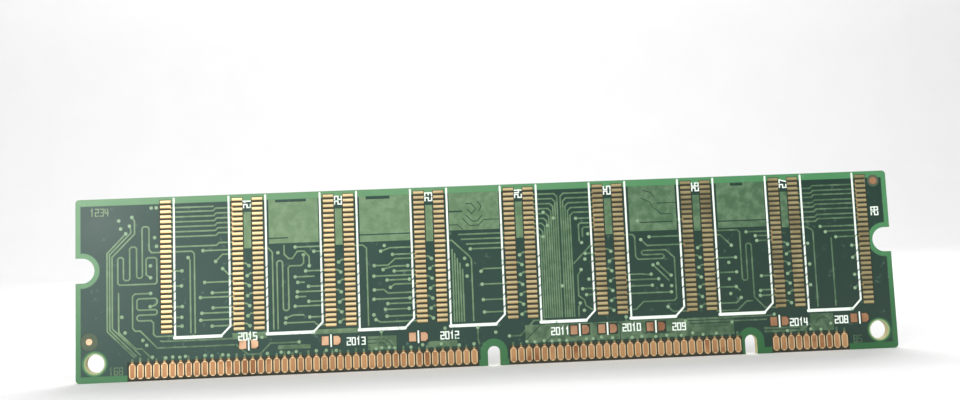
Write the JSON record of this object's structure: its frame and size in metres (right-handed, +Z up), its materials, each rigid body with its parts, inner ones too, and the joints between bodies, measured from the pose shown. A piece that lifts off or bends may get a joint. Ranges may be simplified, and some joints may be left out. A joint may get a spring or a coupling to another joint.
{
  "type": "ram module",
  "caption": "Long, thin memory circuit board with edge contacts, latch and key notches, chips on one side and bare chip footprints on the other.",
  "frame": {"origin": "middle of the contact edge, half way through the board's thickness", "axes": "+X along the board, to the right as seen from the bare back; +Y through the board, towards the component side; +Z up from the contact edge"},
  "size_m": [0.1334, 0.0029, 0.0292],
  "materials": {
    "laminate": "woven glass and epoxy, cut edge",
    "copper": "copper foil and plating",
    "solder_mask": "green solder mask, satin",
    "contact_gold": "hard gold over nickel, wiped",
    "pad_finish": "thin gold over nickel",
    "white_ink": "printed ink",
    "moulding_compound": "black epoxy moulding",
    "lead_frame": "tin-plated alloy",
    "silicon": "silicon die",
    "capacitor_ceramic": "sintered ceramic",
    "resistor_body": "glazed alumina",
    "tinned_terminal": "tin plate",
    "solder": "tin-lead solder, bright"
  },
  "bodies": {
    "root": {"core_laminate": "laminate", "prepreg_back": "laminate", "prepreg_front": "laminate", "ground_plane": "copper", "power_plane": "copper", "copper_back": "copper", "copper_front": "copper", "vias": "copper", "solder_mask_back": "solder_mask", "solder_mask_front": "solder_mask", "contacts_back": "contact_gold", "contacts_front": "contact_gold", "chip_pads_back": "pad_finish", "capacitor_pads_back": "pad_finish", "fiducials": "pad_finish", "chip_pads_front": "pad_finish", "passive_pads_front": "pad_finish", "silkscreen_back": "white_ink", "silkscreen_front": "white_ink", "eeprom_package": "moulding_compound", "eeprom_leads": "lead_frame", "eeprom_die": "silicon", "decoupling_capacitors": "capacitor_ceramic", "capacitor_terminals": "tinned_terminal", "resistor_networks": "resistor_body", "resistor_network_terminals": "tinned_terminal", "solder_joints": "solder", "memory_chip_1": "moulding_compound", "chip_leads_1": "lead_frame", "chip_die_1": "silicon", "memory_chip_2": "moulding_compound", "chip_leads_2": "lead_frame", "chip_die_2": "silicon", "memory_chip_3": "moulding_compound", "chip_leads_3": "lead_frame", "chip_die_3": "silicon", "memory_chip_4": "moulding_compound", "chip_leads_4": "lead_frame", "chip_die_4": "silicon", "memory_chip_5": "moulding_compound", "chip_leads_5": "lead_frame", "chip_die_5": "silicon", "memory_chip_6": "moulding_compound", "chip_leads_6": "lead_frame", "chip_die_6": "silicon", "memory_chip_7": "moulding_compound", "chip_leads_7": "lead_frame", "chip_die_7": "silicon", "memory_chip_8": "moulding_compound", "chip_leads_8": "lead_frame", "chip_die_8": "silicon"}
  },
  "joints": []
}
